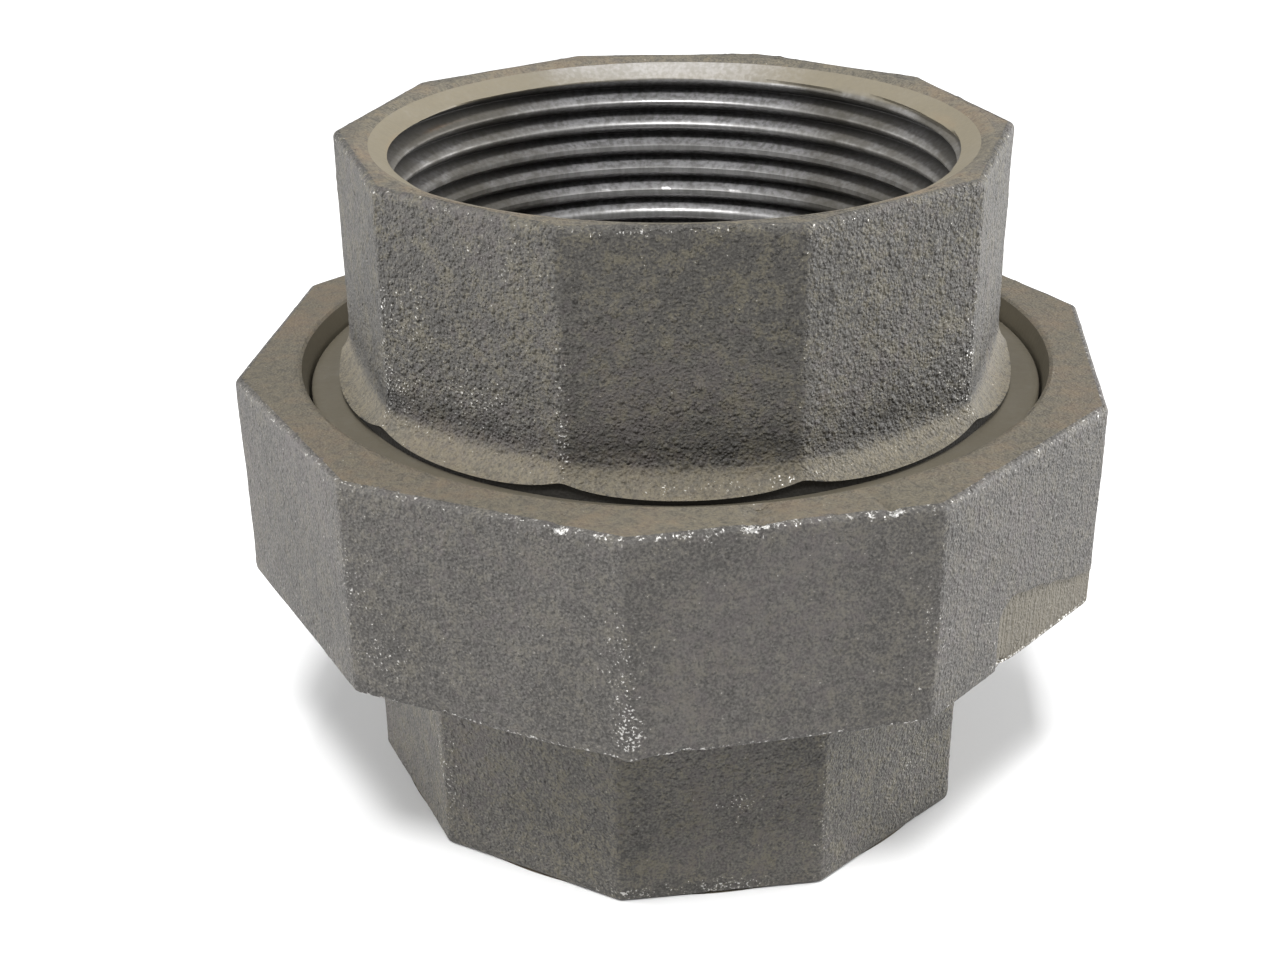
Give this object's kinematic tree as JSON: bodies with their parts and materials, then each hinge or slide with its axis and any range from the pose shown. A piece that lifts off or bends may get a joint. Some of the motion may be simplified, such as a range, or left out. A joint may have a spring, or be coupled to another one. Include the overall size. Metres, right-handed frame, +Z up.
{
  "type": "pipe union",
  "caption": "Threaded pipe union: two ten-sided iron halves with taper pipe sockets, drawn together on a ground brass seat by a ten-sided captive nut.",
  "frame": {"origin": "centre of the lower end face, on the bore axis, where the union stands", "axes": "+Z up the bore from the thread piece to the tail piece; a corner of the tail piece points along +X"},
  "size_m": [0.107, 0.1086, 0.0849],
  "materials": {
    "base_iron": "matte",
    "seat_brass": "satin",
    "tail_iron": "matte",
    "nut_iron": "matte"
  },
  "bodies": {
    "thread_end": {"thread_piece": "base_iron"},
    "seat": {"seat_ring": "seat_brass"},
    "tail_end": {"tail_piece": "tail_iron"},
    "nut": {"union_nut": "nut_iron"}
  },
  "joints": [
    {"name": "lift", "type": "slide", "parent": "thread_end", "child": "seat", "axis": [0, 0, 1], "range_m": [0, 0.0127]},
    {"name": "tail_swivel", "type": "hinge", "parent": "seat", "child": "tail_end", "pos_m": [0, 0, 0.0489], "axis": [0, 0, 1], "continuous": true},
    {"name": "nut_turn", "type": "hinge", "parent": "seat", "child": "nut", "pos_m": [0, 0, 0.0446], "axis": [0, 0, 1], "range_deg": [0, 1800]}
  ],
  "couplings": [
    {"joint": "lift", "follows": "nut_turn", "m_per_rad": 0.00040425}
  ]
}
